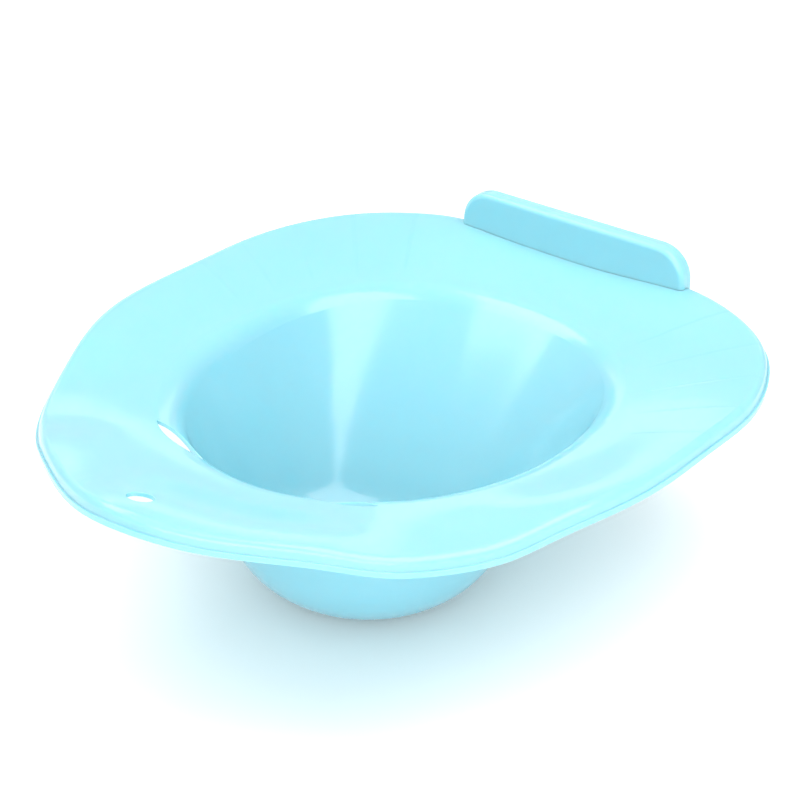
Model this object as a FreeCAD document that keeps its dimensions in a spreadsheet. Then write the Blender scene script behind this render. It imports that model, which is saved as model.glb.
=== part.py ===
import FreeCAD, Part
import bisect
import math
import os
import Sketcher
from FreeCAD import Placement, Rotation, Vector

# Over-the-toilet sitz basin. Millimetres, +Z up, the grip at the +Y end.
# The origin is at the middle of the footprint, on the flat foot of the bowl.

SIZES = [
    ("overall_width", 352.0, "over the bead, X"),
    ("overall_length", 404.0, "over the bead, Y"),
    ("rim_level", 124.0, "mean height of the rim edge above the foot"),
    ("wall", 2.2, "moulded wall"),
    ("lip_radius", 4.0, "rolled top edge of the rim"),
    ("skirt", 9.5, "turned-down skirt under the rim edge"),
    ("skirt_flare", 0.6, "draft of the skirt, outwards"),
    ("bead_out", 1.2, "bead standing out at the foot of the skirt"),
    ("bead_height", 3.0, "height of that bead"),
    ("mouth_width", 237.0, "where the flange starts to roll into the bowl"),
    ("mouth_front", -111.0, "front end of the mouth, Y"),
    ("mouth_back", 149.0, "back end of the mouth, Y"),
    ("mouth_drop", 10.0, "mouth below rim_level"),
    ("mouth_slope", 8.0, "degrees, flange slope at the mouth"),
    ("rim_slope", 3.0, "degrees, flange slope at its outer edge"),
    ("shoulder_radius", 18.0, "roll from the flange into the bowl"),
    ("floor_radius", 22.0, "flat floor of the bowl"),
    ("floor_y", 1.0, "centre of the floor, Y"),
    ("floor_sweep", 56.0, "sweep from the floor into the wall"),
    ("hole_diameter", 14.0, "hanging hole in the nose"),
    ("hole_inset", 23.0, "its centre, in from the nose"),
    ("hole_depth", 30.0, "length of the hole cutter"),
    ("slot_length", 44.0, "overflow slot"),
    ("slot_width", 10.0, "overflow slot at its middle"),
    ("slot_x", 52.5, "overflow slot centre, to either side"),
    ("slot_y", -91.5, "overflow slot centre, Y"),
    ("slot_turn", 16.0, "degrees, slot across the front of the mouth"),
    ("slot_cut", 40.0, "height of the slot cutter"),
    ("rib_thickness", 1.4, "stiffening rib under the flange"),
    ("rib_depth", 4.0, "its depth below the flange"),
    ("grip_length", 153.0, "X"),
    ("grip_thickness", 11.0, "Y"),
    ("grip_height", 26.0, "above rim_level"),
    ("grip_root", 4.5, "how far the blank reaches below rim_level"),
    ("grip_corner", 19.0, "top corners of the grip"),
    ("grip_edge", 3.0, "rounded long edges of the grip"),
    ("grip_wall", 2.0, "wall of the hollow grip"),
    ("grip_inset", 0.0, "back of the grip in from the back of the bead"),
    ("tab_width", 14.0, "snap tab"),
    ("tab_thickness", 2.4, "snap tab"),
    ("tab_reach", 3.5, "snap tab below the flange"),
    ("tab_root", 8.0, "snap tab up inside the grip"),
    ("tab_pitch", 52.0, "between snap tabs"),
    ("tab_nose", 1.0, "hook of the snap tab"),
    ("tab_clearance", 0.3, "tab in its slot, each side"),
]

# Stations round one half of the rim, from the middle of the back to the nose:
# share of the half width, share of the half length, height above rim_level.
RIM_STATIONS = [
    (0.000, 1.000, 1.0), (0.240, 0.999, 2.0), (0.450, 0.995, 3.5), (0.620, 0.960, 2.0),
    (0.800, 0.865, 0.0), (0.920, 0.710, -0.5), (0.985, 0.530, -1.0), (0.998, 0.320, -0.5),
    (1.000, 0.045, 0.5), (0.970, -0.120, 0.5), (0.915, -0.265, -2.0), (0.850, -0.400, -6.5),
    (0.762, -0.535, -6.5), (0.653, -0.660, -3.5), (0.520, -0.770, 3.5), (0.360, -0.870, 7.5),
    (0.190, -0.955, 11.5), (0.000, -1.000, 15.5),
]

RAYS = 72
SEAM = 24
RIB_RAYS = [6, 8, 10, 12, 14]

doc = FreeCAD.newDocument("sitz_basin")
sheet = doc.addObject("Spreadsheet::Sheet", "Sizes")
for row, (alias, value, note) in enumerate(SIZES, start=1):
    sheet.set("A%d" % row, alias)
    sheet.set("B%d" % row, "%g" % value)
    sheet.set("C%d" % row, note)
    sheet.setAlias("B%d" % row, alias)
doc.recompute()


def size(alias):
    return float(sheet.get(alias))


def smooth_loop(points):
    curve = Part.BSplineCurve()
    curve.interpolate(Points=points, PeriodicFlag=True)
    return curve


def on_rays(curve, centre):
    """Points of a closed curve, one for each ray leaving the centre.

    The first ray is SEAM steps round from the back, so that the seam of every
    lofted face stays clear of the grip, the ribs and the openings.
    """
    steps = 1440
    first, last = curve.FirstParameter, curve.LastParameter
    samples = []
    for step in range(steps):
        parameter = first + (last - first) * step / steps
        offset = curve.value(parameter) - centre
        samples.append((math.atan2(offset.x, offset.y) % (2 * math.pi), parameter))
    samples.sort()
    samples.append((samples[0][0] + 2 * math.pi, samples[0][1] + (last - first)))
    points = []
    for ray in range(RAYS):
        angle = 2 * math.pi * ((ray + SEAM) % RAYS) / RAYS
        found = max(1, bisect.bisect_left(samples, (angle, 0.0)))
        low, high = samples[found - 1], samples[found]
        gap = high[1] - low[1]
        if gap < -0.5 * (last - first):
            gap += last - first
        if gap > 0.5 * (last - first):
            gap -= last - first
        part = (angle - low[0]) / max(high[0] - low[0], 1e-9)
        parameter = low[1] + gap * part
        points.append(curve.value(first + (parameter - first) % (last - first)))
    return points


def rim_loop():
    """Outer edge of the rim at its top, before the bead is added outside it."""
    half_width = size("overall_width") / 2 - size("bead_out") - size("skirt_flare")
    half_length = size("overall_length") / 2 - size("bead_out") - size("skirt_flare")
    level = size("rim_level")
    right = [Vector(x * half_width, y * half_length, level + rise) for x, y, rise in RIM_STATIONS]
    left = [Vector(-point.x, point.y, point.z) for point in right[-2:0:-1]]
    return smooth_loop(right + left)


def mouth_loop():
    """Egg-shaped line where the flange begins to roll into the bowl."""
    half_width = size("mouth_width") / 2
    middle = (size("mouth_front") + size("mouth_back")) / 2
    half_length = (size("mouth_back") - size("mouth_front")) / 2
    height = size("rim_level") - size("mouth_drop")
    points = []
    for step in range(48):
        angle = 2 * math.pi * step / 48
        power = 2 / 2.3 if math.cos(angle) > 0 else 1.0
        across = math.copysign(abs(math.sin(angle)) ** power, math.sin(angle))
        along = math.copysign(abs(math.cos(angle)) ** power, math.cos(angle))
        points.append(Vector(half_width * across, middle + half_length * along, height))
    return smooth_loop(points)


def flat(vector):
    return Vector(vector.x, vector.y, 0)


def outward_normals(points):
    normals = []
    for index, point in enumerate(points):
        along = flat(points[(index + 1) % RAYS] - points[index - 1]).normalize()
        normals.append(Vector(-along.y, along.x, 0))
    return [normal if normal.dot(flat(point)) > 0 else -normal for normal, point in zip(normals, points)]


def bowl_section(mouth, centre, depth):
    """Floor edge to mouth along one ray, measured depth below the upper skin."""
    out = flat(mouth - centre)
    reach = out.Length
    out.normalize()
    slope = math.radians(size("mouth_slope"))
    roll = size("shoulder_radius")
    sweep = size("floor_sweep")
    roll_x = reach + roll * math.sin(slope)
    roll_z = mouth.z - roll * math.cos(slope)
    sweep_x = size("floor_radius")
    sweep_z = size("wall") + sweep
    across = roll_x - sweep_x
    drop = roll_z - sweep_z
    steep = math.atan2(drop, across) + math.asin((roll + sweep) / math.hypot(across, drop))

    def place(x, z):
        return centre + out * x + Vector(0, 0, z)

    points = []
    for share in (0.0, 0.2, 0.4, 0.6, 0.8, 1.0):
        angle = steep * share
        radius = sweep + depth
        points.append(place(sweep_x + radius * math.sin(angle), sweep_z - radius * math.cos(angle)))
    shoulder = []
    for share in (0.0, 0.2, 0.4, 0.6, 0.8, 1.0):
        angle = steep + (slope - steep) * share
        radius = roll - depth
        shoulder.append(place(roll_x - radius * math.sin(angle), roll_z + radius * math.cos(angle)))
    return points + shoulder


def flange_section(mouth, edge, depth):
    """Between the mouth and the rolled edge, without its two ends."""
    run = flat(edge - mouth)
    span = run.Length
    start = math.tan(math.radians(size("mouth_slope"))) * span
    finish = math.tan(math.radians(size("rim_slope"))) * span
    points = []
    for share in (0.2, 0.4, 0.6, 0.8):
        square = share * share
        cube = square * share
        height = (2 * cube - 3 * square + 1) * mouth.z + (cube - 2 * square + share) * start
        height += (3 * square - 2 * cube) * edge.z + (cube - square) * finish
        points.append(Vector(mouth.x + run.x * share, mouth.y + run.y * share, height - depth))
    return points


def skin_rings(depth):
    """Rings of one skin, floor edge first and skirt last: depth 0 above, wall below."""
    centre = Vector(0, size("floor_y"), 0)
    rim = on_rays(rim_loop(), centre)
    mouth = on_rays(mouth_loop(), centre)
    normals = outward_normals(rim)
    lip = size("lip_radius")
    columns = []
    for ray in range(RAYS):
        edge = rim[ray] - normals[ray] * lip
        column = bowl_section(mouth[ray], centre, depth)
        column += flange_section(mouth[ray], edge, depth)
        for degrees in (0.0, 30.0, 60.0, 90.0):
            turn = math.radians(degrees)
            radius = lip - depth
            bend = edge + normals[ray] * (radius * math.sin(turn))
            column.append(bend + Vector(0, 0, radius * math.cos(turn) - lip))
        columns.append(column)
    return [list(ring) for ring in zip(*columns)], rim, normals


def skirt_ring(rim, normals, out, up):
    """A ring on the skirt: out from the rim edge, up from the foot of the skirt."""
    rise = Vector(0, 0, up - size("skirt"))
    return [point + normal * out + rise for point, normal in zip(rim, normals)]


def wire(points):
    return Part.Wire(smooth_loop(points).toShape())


# Rings between which one skin is lofted; a band of two rings is straight.
BANDS = [(0, 5), (5, 6), (6, 11), (11, 16), (16, 19), (19, 20)]


def band_faces(wires, bands):
    faces = []
    for first, last in bands:
        faces += Part.makeLoft(wires[first:last + 1], False, last == first + 1).Faces
    return faces


def closed_solid(faces):
    skin = Part.makeShell(faces)
    skin.sewShape()
    solid = Part.Solid(Part.Shell(skin.Faces))
    if solid.Volume < 0:
        solid.reverse()
    return solid


def basin_shell():
    """Wall of even thickness: floor, bowl, flange, rolled edge and skirt."""
    wall = size("wall")
    flare = size("skirt_flare")
    bead = flare + size("bead_out")
    upper, rim, normals = skin_rings(0.0)
    lower = skin_rings(wall)[0]
    upper.append(skirt_ring(rim, normals, flare, size("bead_height")))
    lower.append(skirt_ring(rim, normals, flare - wall, 0.0))
    upper_wires = [wire(ring) for ring in upper]
    lower_wires = [wire(ring) for ring in lower]
    bead_top = wire(skirt_ring(rim, normals, bead, size("bead_height")))
    bead_foot = wire(skirt_ring(rim, normals, bead, 0.0))
    faces = band_faces(upper_wires, BANDS) + band_faces(lower_wires, BANDS)
    faces += band_faces([upper_wires[-1], bead_top, bead_foot, lower_wires[-1]], [(0, 1), (1, 2), (2, 3)])
    faces += [Part.Face(upper_wires[0]), Part.Face(lower_wires[0])]
    return closed_solid(faces)


def under_skin():
    """Everything below the upper skin and the bead, for trimming the foot of the grip."""
    flare = size("skirt_flare")
    bead = flare + size("bead_out")
    upper, rim, normals = skin_rings(0.0)
    upper.append(skirt_ring(rim, normals, flare, size("bead_height")))
    bead_top = skirt_ring(rim, normals, bead, size("bead_height"))
    wires = [wire(ring) for ring in upper]
    ground = wire([flat(point) for point in bead_top])
    faces = band_faces(wires, BANDS)
    faces += band_faces([wires[-1], wire(bead_top), ground], [(0, 1), (1, 2)])
    faces += [Part.Face(wires[0]), Part.Face(ground)]
    return closed_solid(faces)


def rib_blade(ray, lower):
    """One upright blade under the flange, sunk half way into its wall."""
    outer = lower[16][ray]
    inner = lower[13][ray]
    along = flat(outer - inner).normalize()
    side = Vector(-along.y, along.x, 0) * size("rib_thickness")
    sink = Vector(0, 0, size("wall") / 2)
    drop = Vector(0, 0, -size("rib_depth"))
    corners = [inner + sink, inner, outer + drop, outer + sink, lower[15][ray] + sink, lower[14][ray] + sink]
    blade = Part.Face(Part.makePolygon(corners + corners[:1]))
    blade.translate(side * -0.5)
    return blade.extrude(side)


def feature(name, shape):
    item = doc.addObject("Part::Feature", name)
    item.Shape = shape
    item.Placement = Placement()
    return item


def ribs():
    """Radial ribs under both rear quarters of the flange."""
    lower = skin_rings(size("wall"))[0]
    blades = []
    for ray in RIB_RAYS:
        for turn in (ray, RAYS - ray):
            blades.append(rib_blade((turn - SEAM) % RAYS, lower))
    return blades


def height_at(solid, x, y):
    """Top of the wall straight above a point of the plan."""
    probe = Part.makeLine(Vector(x, y, size("rim_level") - 40), Vector(x, y, size("rim_level") + 40))
    return max(vertex.Z for vertex in solid.common(probe).Vertexes)


def bind(item, links):
    for name, expression in links.items():
        item.setExpression(name, expression)


def origin_plane(body, role):
    return [item for item in body.Origin.OriginFeatures if item.Role == role][0]


def sketch_on(body, role, name):
    sketch = body.newObject("Sketcher::SketchObject", name)
    sketch.AttachmentSupport = [(origin_plane(body, role), "")]
    sketch.MapMode = "FlatFace"
    return sketch


def hang_hole(shell):
    """Round cutter square to the flange just inside the nose."""
    y = size("hole_inset") - size("overall_length") / 2
    top = height_at(shell, 0, y)
    reach = size("hole_diameter") / 2
    rise = height_at(shell, 0, y - reach) - height_at(shell, 0, y + reach)
    tilt = -math.degrees(math.atan2(rise, 2 * reach))
    hole = doc.addObject("Part::Cylinder", "HangHole")
    bind(hole, {"Radius": "Sizes.hole_diameter / 2", "Height": "Sizes.hole_depth"})
    turn = Rotation(Vector(1, 0, 0), tilt)
    start = Vector(0, y, top) - turn.multVec(Vector(0, 0, size("hole_depth") / 2))
    hole.Placement = Placement(start, turn)
    print("hang hole", (0, round(y, 3), round(top, 3)), "tilt", round(tilt, 3), "degrees")
    return hole


def overflow_slots():
    """Leaf-shaped cutter on the front shoulder, and its mirror image."""
    body = doc.addObject("PartDesign::Body", "OverflowSlot")
    sketch = sketch_on(body, "XY_Plane", "OverflowLeaf")
    length, width = size("slot_length"), size("slot_width")
    radius = (length * length + width * width) / (4 * width)
    half = math.asin(length / 2 / radius)
    circle = Part.Circle(Vector(0, width / 2 - radius, 0), Vector(0, 0, 1), radius)
    sketch.addGeometry(Part.ArcOfCircle(circle, math.pi / 2 - half, math.pi / 2 + half), False)
    circle = Part.Circle(Vector(0, radius - width / 2, 0), Vector(0, 0, 1), radius)
    sketch.addGeometry(Part.ArcOfCircle(circle, -math.pi / 2 - half, -math.pi / 2 + half), False)
    sketch.addConstraint(Sketcher.Constraint("Coincident", 0, 2, 1, 1))
    sketch.addConstraint(Sketcher.Constraint("Coincident", 0, 1, 1, 2))
    sketch.addConstraint(Sketcher.Constraint("PointOnObject", 0, 1, -1))
    sketch.addConstraint(Sketcher.Constraint("Symmetric", 0, 1, 0, 2, -2))
    sketch.addConstraint(Sketcher.Constraint("Equal", 0, 1))
    across = sketch.addConstraint(Sketcher.Constraint("DistanceX", 0, 2, 0, 1, length))
    curve = sketch.addConstraint(Sketcher.Constraint("Radius", 0, radius))
    sketch.setExpression("Constraints[%d]" % across, "Sizes.slot_length")
    formula = "(Sizes.slot_length * Sizes.slot_length + Sizes.slot_width * Sizes.slot_width)"
    sketch.setExpression("Constraints[%d]" % curve, formula + " / (4 * Sizes.slot_width)")
    pad = body.newObject("PartDesign::Pad", "OverflowPad")
    pad.Profile = sketch
    pad.setExpression("Length", "Sizes.slot_cut")
    pad.Midplane = True
    body.Tip = pad
    body.Placement = Placement(Vector(0, 0, 0), Rotation(Vector(0, 0, 1), size("slot_turn")))
    bind(body, {"Placement.Base.x": "Sizes.slot_x", "Placement.Base.y": "Sizes.slot_y",
                "Placement.Base.z": "Sizes.rim_level - Sizes.mouth_drop"})
    mirror = doc.addObject("Part::Mirroring", "OverflowSlotLeft")
    mirror.Source = body
    mirror.Normal = Vector(1, 0, 0)
    return [body, mirror]


def grip_front():
    return size("overall_length") / 2 - size("grip_inset") - size("grip_thickness")


def snap_tabs(shell):
    """Snap tabs of the grip, the slots they pass through, and their keep-out boxes."""
    tabs = []
    slots = []
    guards = []
    near = grip_front() + size("grip_wall") / 2
    gap = size("tab_clearance")
    for index in (-1, 0, 1):
        middle = index * size("tab_pitch")
        under = height_at(shell, middle, near + size("tab_thickness") / 2) - size("wall")
        tag = "LMR"[index + 1]
        left = middle - size("tab_width") / 2
        tab = doc.addObject("Part::Box", "Tab" + tag)
        bind(tab, {"Length": "Sizes.tab_width", "Width": "Sizes.tab_thickness",
                   "Height": "Sizes.tab_reach + Sizes.wall + Sizes.tab_root"})
        tab.Placement = Placement(Vector(left, near, under - size("tab_reach")), Rotation())
        hook = doc.addObject("Part::Wedge", "Hook" + tag)
        for name, value in (("Xmin", 0), ("Ymin", 0), ("Zmin", 0), ("X2min", 0), ("Z2min", 0)):
            setattr(hook, name, value)
        bind(hook, {"Xmax": "Sizes.tab_width", "X2max": "Sizes.tab_width",
                    "Ymax": "Sizes.tab_reach - Sizes.tab_clearance",
                    "Zmax": "Sizes.tab_thickness", "Z2max": "Sizes.tab_thickness + Sizes.tab_nose"})
        hook.Placement = Placement(Vector(left + size("tab_width"), near, under - size("tab_reach")),
                                   Rotation(Vector(0, 1, 1), 180))
        slot = doc.addObject("Part::Box", "TabSlot" + tag)
        bind(slot, {"Length": "Sizes.tab_width + 2 * Sizes.tab_clearance",
                    "Width": "Sizes.tab_thickness + 2 * Sizes.tab_clearance", "Height": "4 * Sizes.wall"})
        slot.Placement = Placement(Vector(left - gap, near - gap, under - size("wall")), Rotation())
        guard = doc.addObject("Part::Box", "TabGuard" + tag)
        bind(guard, {"Length": "Sizes.tab_width", "Width": "Sizes.tab_thickness + Sizes.tab_nose",
                     "Height": "Sizes.grip_height"})
        guard.Placement = Placement(Vector(left, near, under - size("tab_reach")), Rotation())
        tabs += [tab, hook]
        slots.append(slot)
        guards.append(guard)
    return tabs, slots, guards


def arch_sketch(body, name, sizes, links):
    """Upright outline with a flat foot and two rounded top corners."""
    length, foot, top, corner = sizes
    half = length / 2
    sketch = sketch_on(body, "XZ_Plane", name)
    marks = [Vector(-half, foot, 0), Vector(half, foot, 0), Vector(half, top - corner, 0),
             Vector(half - corner, top, 0), Vector(corner - half, top, 0), Vector(-half, top - corner, 0)]
    upright = Vector(0, 0, 1)
    right = Part.Circle(Vector(half - corner, top - corner, 0), upright, corner)
    left = Part.Circle(Vector(corner - half, top - corner, 0), upright, corner)
    sketch.addGeometry(Part.LineSegment(marks[0], marks[1]), False)
    sketch.addGeometry(Part.LineSegment(marks[1], marks[2]), False)
    sketch.addGeometry(Part.ArcOfCircle(right, 0, math.pi / 2), False)
    sketch.addGeometry(Part.LineSegment(marks[3], marks[4]), False)
    sketch.addGeometry(Part.ArcOfCircle(left, math.pi / 2, math.pi), False)
    sketch.addGeometry(Part.LineSegment(marks[5], marks[0]), False)
    rules = [("Coincident", 0, 2, 1, 1), ("Tangent", 1, 2, 2, 1), ("Tangent", 2, 2, 3, 1),
             ("Tangent", 3, 2, 4, 1), ("Tangent", 4, 2, 5, 1), ("Coincident", 5, 2, 0, 1),
             ("Horizontal", 3), ("Vertical", 1), ("Equal", 2, 4),
             ("Symmetric", 0, 1, 0, 2, -2)]
    for rule in rules:
        sketch.addConstraint(Sketcher.Constraint(*rule))
    measures = [("DistanceX", 0, 1, 0, 2, length), ("DistanceY", -1, 1, 0, 1, foot),
                ("DistanceY", -1, 1, 3, 1, top), ("Radius", 2, corner)]
    for measure, link in zip(measures, links):
        number = sketch.addConstraint(Sketcher.Constraint(*measure))
        sketch.setExpression("Constraints[%d]" % number, link)
    return sketch


def grip_blank():
    """Hollow grip, open below, before its foot is trimmed to the flange."""
    length, corner, wall = size("grip_length"), size("grip_corner"), size("grip_wall")
    top = size("rim_level") + size("grip_height")
    foot = size("rim_level") - size("grip_root")
    body = doc.addObject("PartDesign::Body", "GripBlank")
    outline = arch_sketch(body, "GripOutline", (length, foot, top, corner),
                          ["Sizes.grip_length", "Sizes.rim_level - Sizes.grip_root",
                           "Sizes.rim_level + Sizes.grip_height", "Sizes.grip_corner"])
    pad = body.newObject("PartDesign::Pad", "GripPad")
    pad.Profile = outline
    pad.setExpression("Length", "Sizes.grip_thickness")
    doc.recompute()
    edges = []
    for number, edge in enumerate(pad.Shape.Edges, start=1):
        box = edge.BoundBox
        if box.YLength < 0.01 and box.ZMax > foot + 0.01:
            edges.append("Edge%d" % number)
    fillet = body.newObject("PartDesign::Fillet", "GripEdges")
    fillet.Base = (pad, edges)
    fillet.setExpression("Radius", "Sizes.grip_edge")
    hollow = arch_sketch(body, "GripHollow", (length - 2 * wall, foot - 1, top - wall, corner - wall),
                         ["Sizes.grip_length - 2 * Sizes.grip_wall",
                          "Sizes.rim_level - Sizes.grip_root - 1",
                          "Sizes.rim_level + Sizes.grip_height - Sizes.grip_wall",
                          "Sizes.grip_corner - Sizes.grip_wall"])
    hollow.setExpression("AttachmentOffset.Base.z", "Sizes.grip_thickness - Sizes.grip_wall")
    pocket = body.newObject("PartDesign::Pocket", "GripPocket")
    pocket.Profile = hollow
    pocket.setExpression("Length", "Sizes.grip_thickness - 2 * Sizes.grip_wall")
    body.Tip = pocket
    body.setExpression("Placement.Base.y", "Sizes.overall_length / 2 - Sizes.grip_inset")
    doc.recompute()
    return body


def combine(kind, name, shapes):
    item = doc.addObject("Part::" + kind, name)
    if kind == "MultiFuse":
        item.Shapes = shapes
    else:
        item.Base, item.Tool = shapes
    return item


def check(items):
    for item in items:
        if "Invalid" in item.State or "Error" in item.State:
            raise RuntimeError(item.Name + " did not build")
        if hasattr(item, "Shape") and item.TypeId.startswith("Part"):
            if item.Shape.isNull() or not item.Shape.isValid():
                raise RuntimeError(item.Name + " has no sound shape")


shell = basin_shell()
raw_basin = feature("BasinShell", shell)
blades = [feature("Rib%02d" % number, blade) for number, blade in enumerate(ribs(), start=1)]
tabs, tab_slots, guards = snap_tabs(shell)
cutters = [hang_hole(shell)] + overflow_slots() + tab_slots
ribbed = combine("MultiFuse", "RibbedBasin", [raw_basin] + blades)
openings = combine("MultiFuse", "Openings", cutters)
basin = combine("Cut", "Basin", (ribbed, openings))
basin.Label = "basin"

tabbed = combine("MultiFuse", "TabbedGrip", [grip_blank()] + tabs)
below = feature("UnderSkin", under_skin())
keep_out = combine("MultiFuse", "TabGuards", guards)
trim = combine("Cut", "SeatTrim", (below, keep_out))
grip = combine("Cut", "BackGrip", (tabbed, trim))
grip.Label = "back_grip"
doc.recompute()
check(doc.Objects)

os.makedirs("parts", exist_ok=True)
for part in (basin, grip):
    if len(part.Shape.Solids) != 1:
        raise RuntimeError(part.Label + " is not one solid: %d" % len(part.Shape.Solids))
    part.Shape.exportStep("parts/%s.step" % part.Label)
    print(part.Label, "volume", round(part.Shape.Volume), "mm3", part.Shape.BoundBox)
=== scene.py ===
import math

import bpy
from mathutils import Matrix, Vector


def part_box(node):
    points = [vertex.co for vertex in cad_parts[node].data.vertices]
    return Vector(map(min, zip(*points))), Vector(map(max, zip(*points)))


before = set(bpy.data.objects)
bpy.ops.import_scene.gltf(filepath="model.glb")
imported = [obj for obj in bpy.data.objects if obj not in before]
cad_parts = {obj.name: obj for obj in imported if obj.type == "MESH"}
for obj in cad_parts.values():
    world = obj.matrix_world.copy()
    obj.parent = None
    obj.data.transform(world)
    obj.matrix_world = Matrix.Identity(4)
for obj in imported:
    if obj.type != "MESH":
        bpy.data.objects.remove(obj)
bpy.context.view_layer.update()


# ---------------------------------------------------------------- the camera
# The basin is seen from the front and its +X side, from a little above and
# through a long lens, so that the saddle-shaped rim is hardly foreshortened.

rim_level = 0.124
aim_y = 0.00715
camera_turn = math.radians(37.55)
camera_rise = math.radians(27.61)
camera_distance = 1.5

bpy.ops.object.select_all(action="DESELECT")
bpy.ops.object.camera_add(
    location=(
        camera_distance * math.sin(camera_turn) * math.cos(camera_rise),
        aim_y - camera_distance * math.cos(camera_turn) * math.cos(camera_rise),
        rim_level + camera_distance * math.sin(camera_rise),
    ),
    rotation=(math.pi / 2 - camera_rise, 0.0, camera_turn),
)
camera = bpy.context.object
camera.name = "camera"
camera.data.sensor_width = 36.0
camera.data.lens = 126.8
camera.data.shift_x = 0.0311
camera.data.shift_y = -0.027
bpy.context.scene.camera = camera


# ------------------------------------------------- the skin of moulded plastic
# Both pieces are injection moulded in the same glossy polypropylene. The mould
# is polished, so the skin only has a slow waviness where the plastic shrank, a
# very fine grain, and patches where it is a shade glossier or paler.

moulded_skin = bpy.data.node_groups.new("moulded_skin", "ShaderNodeTree")
for in_out, socket_names in (
    ("INPUT", ("Wave Scale", "Grain Scale", "Grain Share", "Gloss Low", "Gloss High")),
    ("OUTPUT", ("Height", "Roughness", "Paleness")),
):
    for socket_name in socket_names:
        moulded_skin.interface.new_socket(name=socket_name, in_out=in_out, socket_type="NodeSocketFloat")

skin_in = moulded_skin.nodes.new("NodeGroupInput")
skin_out = moulded_skin.nodes.new("NodeGroupOutput")
skin_place = moulded_skin.nodes.new("ShaderNodeTexCoord")

skin_wave = moulded_skin.nodes.new("ShaderNodeTexNoise")
skin_wave.inputs["Detail"].default_value = 1.5
skin_wave.inputs["Roughness"].default_value = 0.4
moulded_skin.links.new(skin_place.outputs["Object"], skin_wave.inputs["Vector"])
moulded_skin.links.new(skin_in.outputs["Wave Scale"], skin_wave.inputs["Scale"])

skin_grain = moulded_skin.nodes.new("ShaderNodeTexNoise")
skin_grain.inputs["Detail"].default_value = 2.0
moulded_skin.links.new(skin_place.outputs["Object"], skin_grain.inputs["Vector"])
moulded_skin.links.new(skin_in.outputs["Grain Scale"], skin_grain.inputs["Scale"])

skin_fine = moulded_skin.nodes.new("ShaderNodeMath")
skin_fine.operation = "MULTIPLY"
moulded_skin.links.new(skin_grain.outputs["Fac"], skin_fine.inputs[0])
moulded_skin.links.new(skin_in.outputs["Grain Share"], skin_fine.inputs[1])

skin_height = moulded_skin.nodes.new("ShaderNodeMath")
skin_height.operation = "ADD"
moulded_skin.links.new(skin_wave.outputs["Fac"], skin_height.inputs[0])
moulded_skin.links.new(skin_fine.outputs["Value"], skin_height.inputs[1])
moulded_skin.links.new(skin_height.outputs["Value"], skin_out.inputs["Height"])

# Handling leaves broad patches that are a little duller than the rest.
skin_patch = moulded_skin.nodes.new("ShaderNodeTexNoise")
skin_patch.inputs["Scale"].default_value = 11.0
skin_patch.inputs["Detail"].default_value = 4.0
skin_patch.inputs["Roughness"].default_value = 0.6
moulded_skin.links.new(skin_place.outputs["Object"], skin_patch.inputs["Vector"])

skin_gloss = moulded_skin.nodes.new("ShaderNodeMapRange")
skin_gloss.inputs["From Min"].default_value = 0.35
skin_gloss.inputs["From Max"].default_value = 0.65
moulded_skin.links.new(skin_patch.outputs["Fac"], skin_gloss.inputs["Value"])
moulded_skin.links.new(skin_in.outputs["Gloss Low"], skin_gloss.inputs["To Min"])
moulded_skin.links.new(skin_in.outputs["Gloss High"], skin_gloss.inputs["To Max"])
moulded_skin.links.new(skin_gloss.outputs["Result"], skin_out.inputs["Roughness"])

# The colour is not mixed in quite evenly, so it drifts along the flow.
skin_flow = moulded_skin.nodes.new("ShaderNodeTexNoise")
skin_flow.inputs["Scale"].default_value = 6.0
skin_flow.inputs["Detail"].default_value = 3.0
skin_flow.inputs["Distortion"].default_value = 0.6
moulded_skin.links.new(skin_place.outputs["Object"], skin_flow.inputs["Vector"])

skin_pale = moulded_skin.nodes.new("ShaderNodeMapRange")
skin_pale.inputs["From Min"].default_value = 0.3
skin_pale.inputs["From Max"].default_value = 0.7
moulded_skin.links.new(skin_flow.outputs["Fac"], skin_pale.inputs["Value"])
moulded_skin.links.new(skin_pale.outputs["Result"], skin_out.inputs["Paleness"])


# ------------------------------------------------------------------ the basin
# One thin moulding in pale blue polypropylene, a little translucent: a round
# bowl, a saddle-shaped flange to sit on, and a turned-down skirt with a bead.
# Ribs under its rear quarters show on top as faint sunken lines.

basin_deep_blue = (0.225, 0.515, 0.590, 1.0)
basin_pale_blue = (0.245, 0.530, 0.605, 1.0)
bowl_centre_y = 0.001
rib_first = 30.0
rib_last = 70.0
rib_pitch = 10.0
rib_line_width = 0.055
rib_fade_low = 0.1145
rib_fade_high = 0.1185
gate_radius = 0.0045
gate_line_width = 0.0006
gate_scar_top = 0.001
basin_edge_radius = 0.0006

basin_plastic = bpy.data.materials.new("basin_plastic")
basin_plastic.use_nodes = True
basin_nodes = basin_plastic.node_tree.nodes
basin_links = basin_plastic.node_tree.links
basin_shader = basin_nodes["Principled BSDF"]
basin_shader.inputs["IOR"].default_value = 1.49
basin_shader.inputs["Specular IOR Level"].default_value = 0.6
basin_shader.inputs["Subsurface Weight"].default_value = 0.8
basin_shader.inputs["Subsurface Radius"].default_value = (0.4, 0.9, 1.0)
basin_shader.inputs["Subsurface Scale"].default_value = 0.004

basin_skin = basin_nodes.new("ShaderNodeGroup")
basin_skin.node_tree = moulded_skin
basin_skin.inputs["Wave Scale"].default_value = 26.0
basin_skin.inputs["Grain Scale"].default_value = 900.0
basin_skin.inputs["Grain Share"].default_value = 0.05
basin_skin.inputs["Gloss Low"].default_value = 0.10
basin_skin.inputs["Gloss High"].default_value = 0.16
basin_links.new(basin_skin.outputs["Roughness"], basin_shader.inputs["Roughness"])

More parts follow.
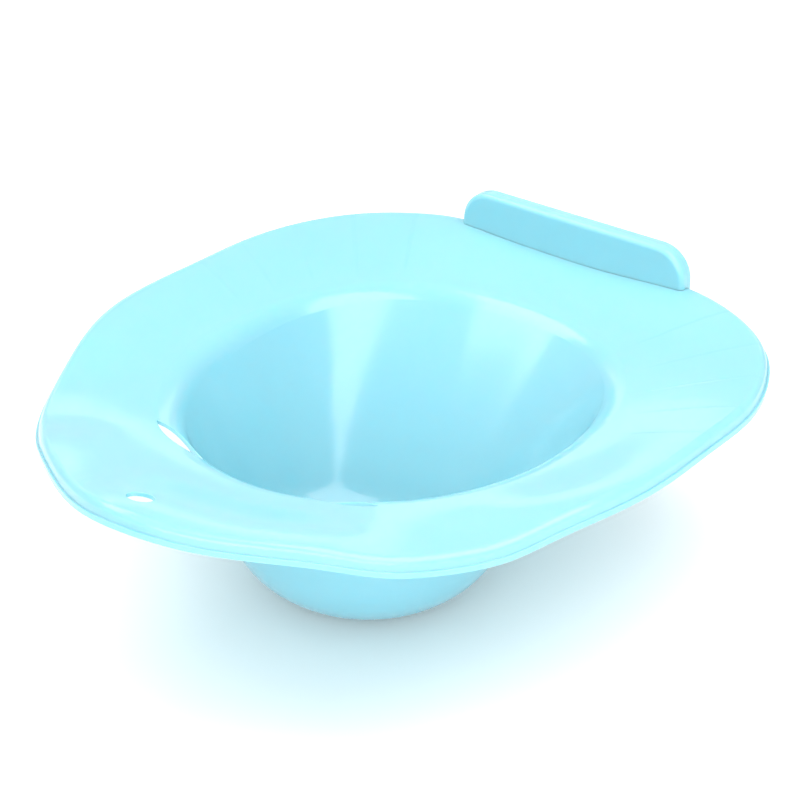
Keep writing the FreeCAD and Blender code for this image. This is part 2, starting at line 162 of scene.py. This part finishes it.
# The angle round the bowl, in rib pitches from the middle of the back.
basin_place = basin_nodes.new("ShaderNodeTexCoord")
basin_xyz = basin_nodes.new("ShaderNodeSeparateXYZ")
basin_links.new(basin_place.outputs["Object"], basin_xyz.inputs["Vector"])
basin_back = basin_nodes.new("ShaderNodeMath")
basin_back.operation = "SUBTRACT"
basin_back.inputs[1].default_value = bowl_centre_y
basin_links.new(basin_xyz.outputs["Y"], basin_back.inputs[0])
basin_side = basin_nodes.new("ShaderNodeMath")
basin_side.operation = "ABSOLUTE"
basin_links.new(basin_xyz.outputs["X"], basin_side.inputs[0])
basin_angle = basin_nodes.new("ShaderNodeMath")
basin_angle.operation = "ARCTAN2"
basin_links.new(basin_side.outputs["Value"], basin_angle.inputs[0])
basin_links.new(basin_back.outputs["Value"], basin_angle.inputs[1])
basin_pitch = basin_nodes.new("ShaderNodeMath")
basin_pitch.operation = "DIVIDE"
basin_pitch.inputs[1].default_value = math.radians(rib_pitch)
basin_links.new(basin_angle.outputs["Value"], basin_pitch.inputs[0])

# A soft line at each whole pitch, kept to the ribs' own span of angles.
rib_off = basin_nodes.new("ShaderNodeMath")
rib_off.operation = "PINGPONG"
rib_off.inputs[1].default_value = 0.5
basin_links.new(basin_pitch.outputs["Value"], rib_off.inputs[0])
rib_line = basin_nodes.new("ShaderNodeMapRange")
rib_line.interpolation_type = "SMOOTHSTEP"
rib_line.inputs["From Min"].default_value = 0.0
rib_line.inputs["From Max"].default_value = rib_line_width
rib_line.inputs["To Min"].default_value = 1.0
rib_line.inputs["To Max"].default_value = 0.0
basin_links.new(rib_off.outputs["Value"], rib_line.inputs["Value"])
rib_middle = basin_nodes.new("ShaderNodeMath")
rib_middle.operation = "COMPARE"
rib_middle.inputs[1].default_value = (rib_first + rib_last) / 2 / rib_pitch
rib_middle.inputs[2].default_value = (rib_last - rib_first) / 2 / rib_pitch + 0.4
basin_links.new(basin_pitch.outputs["Value"], rib_middle.inputs[0])
rib_span = basin_nodes.new("ShaderNodeMath")
rib_span.operation = "MULTIPLY"
basin_links.new(rib_line.outputs["Result"], rib_span.inputs[0])
basin_links.new(rib_middle.outputs["Value"], rib_span.inputs[1])

# The lines stay on the flange: they fade out before the shoulder of the bowl.
rib_level = basin_nodes.new("ShaderNodeMapRange")
rib_level.interpolation_type = "SMOOTHSTEP"
rib_level.inputs["From Min"].default_value = rib_fade_low
rib_level.inputs["From Max"].default_value = rib_fade_high
basin_links.new(basin_xyz.outputs["Z"], rib_level.inputs["Value"])
rib_sink = basin_nodes.new("ShaderNodeMath")
rib_sink.operation = "MULTIPLY"
basin_links.new(rib_span.outputs["Value"], rib_sink.inputs[0])
basin_links.new(rib_level.outputs["Result"], rib_sink.inputs[1])

# The plastic came in through a gate, and its ring-shaped scar is under the foot only.
gate_place = basin_nodes.new("ShaderNodeVectorMath")
gate_place.operation = "DISTANCE"
gate_place.inputs[1].default_value = (0.0, bowl_centre_y, 0.0)
basin_links.new(basin_place.outputs["Object"], gate_place.inputs[0])
gate_ring = basin_nodes.new("ShaderNodeMath")
gate_ring.operation = "COMPARE"
gate_ring.inputs[1].default_value = gate_radius
gate_ring.inputs[2].default_value = gate_line_width
basin_links.new(gate_place.outputs["Value"], gate_ring.inputs[0])
gate_side = basin_nodes.new("ShaderNodeMath")
gate_side.operation = "LESS_THAN"
gate_side.inputs[1].default_value = gate_scar_top
basin_links.new(basin_xyz.outputs["Z"], gate_side.inputs[0])
gate_scar = basin_nodes.new("ShaderNodeMath")
gate_scar.operation = "MULTIPLY"
basin_links.new(gate_ring.outputs["Value"], gate_scar.inputs[0])
basin_links.new(gate_side.outputs["Value"], gate_scar.inputs[1])

# Over a rib the wall is thicker, so the colour is a shade deeper there.
basin_shade = basin_nodes.new("ShaderNodeMath")
basin_shade.operation = "SUBTRACT"
basin_shade.use_clamp = True
basin_links.new(basin_skin.outputs["Paleness"], basin_shade.inputs[0])
basin_links.new(rib_sink.outputs["Value"], basin_shade.inputs[1])
basin_colour = basin_nodes.new("ShaderNodeMix")
basin_colour.data_type = "RGBA"
basin_colour.inputs["A"].default_value = basin_deep_blue
basin_colour.inputs["B"].default_value = basin_pale_blue
basin_links.new(basin_shade.outputs["Value"], basin_colour.inputs["Factor"])
basin_links.new(basin_colour.outputs["Result"], basin_shader.inputs["Base Color"])

# Edges are rounded first, then come the waviness, the rib lines and the scar.
basin_edge = basin_nodes.new("ShaderNodeBevel")
basin_edge.samples = 6
basin_edge.inputs["Radius"].default_value = basin_edge_radius
basin_wave = basin_nodes.new("ShaderNodeBump")
basin_wave.inputs["Strength"].default_value = 0.2
basin_wave.inputs["Distance"].default_value = 0.0004
basin_links.new(basin_skin.outputs["Height"], basin_wave.inputs["Height"])
basin_links.new(basin_edge.outputs["Normal"], basin_wave.inputs["Normal"])
basin_ribs = basin_nodes.new("ShaderNodeBump")
basin_ribs.invert = True
basin_ribs.inputs["Strength"].default_value = 0.5
basin_ribs.inputs["Distance"].default_value = 0.00012
basin_links.new(rib_sink.outputs["Value"], basin_ribs.inputs["Height"])
basin_links.new(basin_wave.outputs["Normal"], basin_ribs.inputs["Normal"])
basin_gate = basin_nodes.new("ShaderNodeBump")
basin_gate.inputs["Strength"].default_value = 0.8
basin_gate.inputs["Distance"].default_value = 0.0003
basin_links.new(gate_scar.outputs["Value"], basin_gate.inputs["Height"])
basin_links.new(basin_ribs.outputs["Normal"], basin_gate.inputs["Normal"])
basin_links.new(basin_gate.outputs["Normal"], basin_shader.inputs["Normal"])

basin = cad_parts["basin"]
basin.data.materials.clear()
basin.data.materials.append(basin_plastic)


# -------------------------------------------------------------- the back grip
# A hollow clip-on grip in the same plastic, snapped into three slots in the
# flange. The two halves of its mould met along the middle of its top, where
# they left a fine raised line.

grip_low, grip_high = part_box("back_grip")
grip_deep_blue = (0.225, 0.525, 0.610, 1.0)
grip_pale_blue = (0.245, 0.540, 0.625, 1.0)
parting_half_width = 0.00035
grip_edge_radius = 0.0006

grip_plastic = bpy.data.materials.new("grip_plastic")
grip_plastic.use_nodes = True
grip_nodes = grip_plastic.node_tree.nodes
grip_links = grip_plastic.node_tree.links
grip_shader = grip_nodes["Principled BSDF"]
grip_shader.inputs["IOR"].default_value = 1.49
grip_shader.inputs["Specular IOR Level"].default_value = 0.6
grip_shader.inputs["Subsurface Weight"].default_value = 0.8
grip_shader.inputs["Subsurface Radius"].default_value = (0.4, 0.9, 1.0)
grip_shader.inputs["Subsurface Scale"].default_value = 0.004

grip_skin = grip_nodes.new("ShaderNodeGroup")
grip_skin.node_tree = moulded_skin
grip_skin.inputs["Wave Scale"].default_value = 40.0
grip_skin.inputs["Grain Scale"].default_value = 1100.0
grip_skin.inputs["Grain Share"].default_value = 0.08
grip_skin.inputs["Gloss Low"].default_value = 0.17
grip_skin.inputs["Gloss High"].default_value = 0.26
grip_links.new(grip_skin.outputs["Roughness"], grip_shader.inputs["Roughness"])

grip_colour = grip_nodes.new("ShaderNodeMix")
grip_colour.data_type = "RGBA"
grip_colour.inputs["A"].default_value = grip_deep_blue
grip_colour.inputs["B"].default_value = grip_pale_blue
grip_links.new(grip_skin.outputs["Paleness"], grip_colour.inputs["Factor"])
grip_links.new(grip_colour.outputs["Result"], grip_shader.inputs["Base Color"])

grip_place = grip_nodes.new("ShaderNodeTexCoord")
grip_xyz = grip_nodes.new("ShaderNodeSeparateXYZ")
grip_links.new(grip_place.outputs["Object"], grip_xyz.inputs["Vector"])
parting_off = grip_nodes.new("ShaderNodeMath")
parting_off.operation = "SUBTRACT"
parting_off.inputs[1].default_value = (grip_low.y + grip_high.y) / 2
grip_links.new(grip_xyz.outputs["Y"], parting_off.inputs[0])
parting_gap = grip_nodes.new("ShaderNodeMath")
parting_gap.operation = "ABSOLUTE"
grip_links.new(parting_off.outputs["Value"], parting_gap.inputs[0])
parting_line = grip_nodes.new("ShaderNodeMapRange")
parting_line.interpolation_type = "SMOOTHSTEP"
parting_line.inputs["From Max"].default_value = parting_half_width
parting_line.inputs["To Min"].default_value = 1.0
parting_line.inputs["To Max"].default_value = 0.0
grip_links.new(parting_gap.outputs["Value"], parting_line.inputs["Value"])

grip_edge = grip_nodes.new("ShaderNodeBevel")
grip_edge.samples = 6
grip_edge.inputs["Radius"].default_value = grip_edge_radius
grip_wave = grip_nodes.new("ShaderNodeBump")
grip_wave.inputs["Strength"].default_value = 0.35
grip_wave.inputs["Distance"].default_value = 0.0004
grip_links.new(grip_skin.outputs["Height"], grip_wave.inputs["Height"])
grip_links.new(grip_edge.outputs["Normal"], grip_wave.inputs["Normal"])
grip_parting = grip_nodes.new("ShaderNodeBump")
grip_parting.inputs["Strength"].default_value = 0.7
grip_parting.inputs["Distance"].default_value = 0.00015
grip_links.new(parting_line.outputs["Result"], grip_parting.inputs["Height"])
grip_links.new(grip_wave.outputs["Normal"], grip_parting.inputs["Normal"])
grip_links.new(grip_parting.outputs["Normal"], grip_shader.inputs["Normal"])

back_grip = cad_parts["back_grip"]
back_grip.data.materials.clear()
back_grip.data.materials.append(grip_plastic)


# ----------------------------------------------------- the floor and the light
# A white paper sweep, a bright even room, two large soft boxes overhead with a
# gap between them, a low card behind, and a fill beside the camera.
# Each lamp has its place, its tilt in degrees, its size and its brightness.

floor_size = 8.0
paper_white = (0.93, 0.93, 0.93, 1.0)
room_white = (1.0, 1.0, 1.0, 1.0)
room_brightness = 0.85

bpy.ops.object.select_all(action="DESELECT")
bpy.ops.mesh.primitive_plane_add(size=floor_size, location=(0, 0, 0))
studio_floor = bpy.context.object
studio_floor.name = "studio_floor"
floor_paper = bpy.data.materials.new("floor_paper")
floor_paper.use_nodes = True
floor_shader = floor_paper.node_tree.nodes["Principled BSDF"]
floor_shader.inputs["Base Color"].default_value = paper_white
floor_shader.inputs["Roughness"].default_value = 0.9
floor_shader.inputs["Specular IOR Level"].default_value = 0.1
studio_floor.data.materials.append(floor_paper)

room = bpy.data.worlds.new("studio_room")
room.use_nodes = True
room.node_tree.nodes["Background"].inputs["Color"].default_value = room_white
room.node_tree.nodes["Background"].inputs["Strength"].default_value = room_brightness
bpy.context.scene.world = room

for lamp_name, lamp_place, lamp_tilt, lamp_size, lamp_glow in (
    ("softbox_right", (0.75, 0.00, 1.25), (0.0, 0.0, 0.0), (1.30, 1.00), 3.6),
    ("softbox_left", (-0.95, -0.25, 1.25), (0.0, 0.0, 0.0), (0.95, 1.25), 3.6),
    ("back_card", (-1.215, 1.449, 0.77), (-71.0, 0.0, 40.0), (2.2, 0.3), 0.8),
    ("front_fill", (1.30, -1.70, 0.75), (72.0, 0.0, 37.5), (2.4, 1.4), 3.4),
):
    bpy.ops.object.light_add(
        type="AREA", location=lamp_place, rotation=[math.radians(turn) for turn in lamp_tilt]
    )
    lamp = bpy.context.object
    lamp.name = lamp_name
    lamp.data.shape = "RECTANGLE"
    lamp.data.size, lamp.data.size_y = lamp_size
    lamp.data.energy = lamp_glow * lamp_size[0] * lamp_size[1] * math.pi

bpy.context.scene.view_settings.view_transform = "Standard"
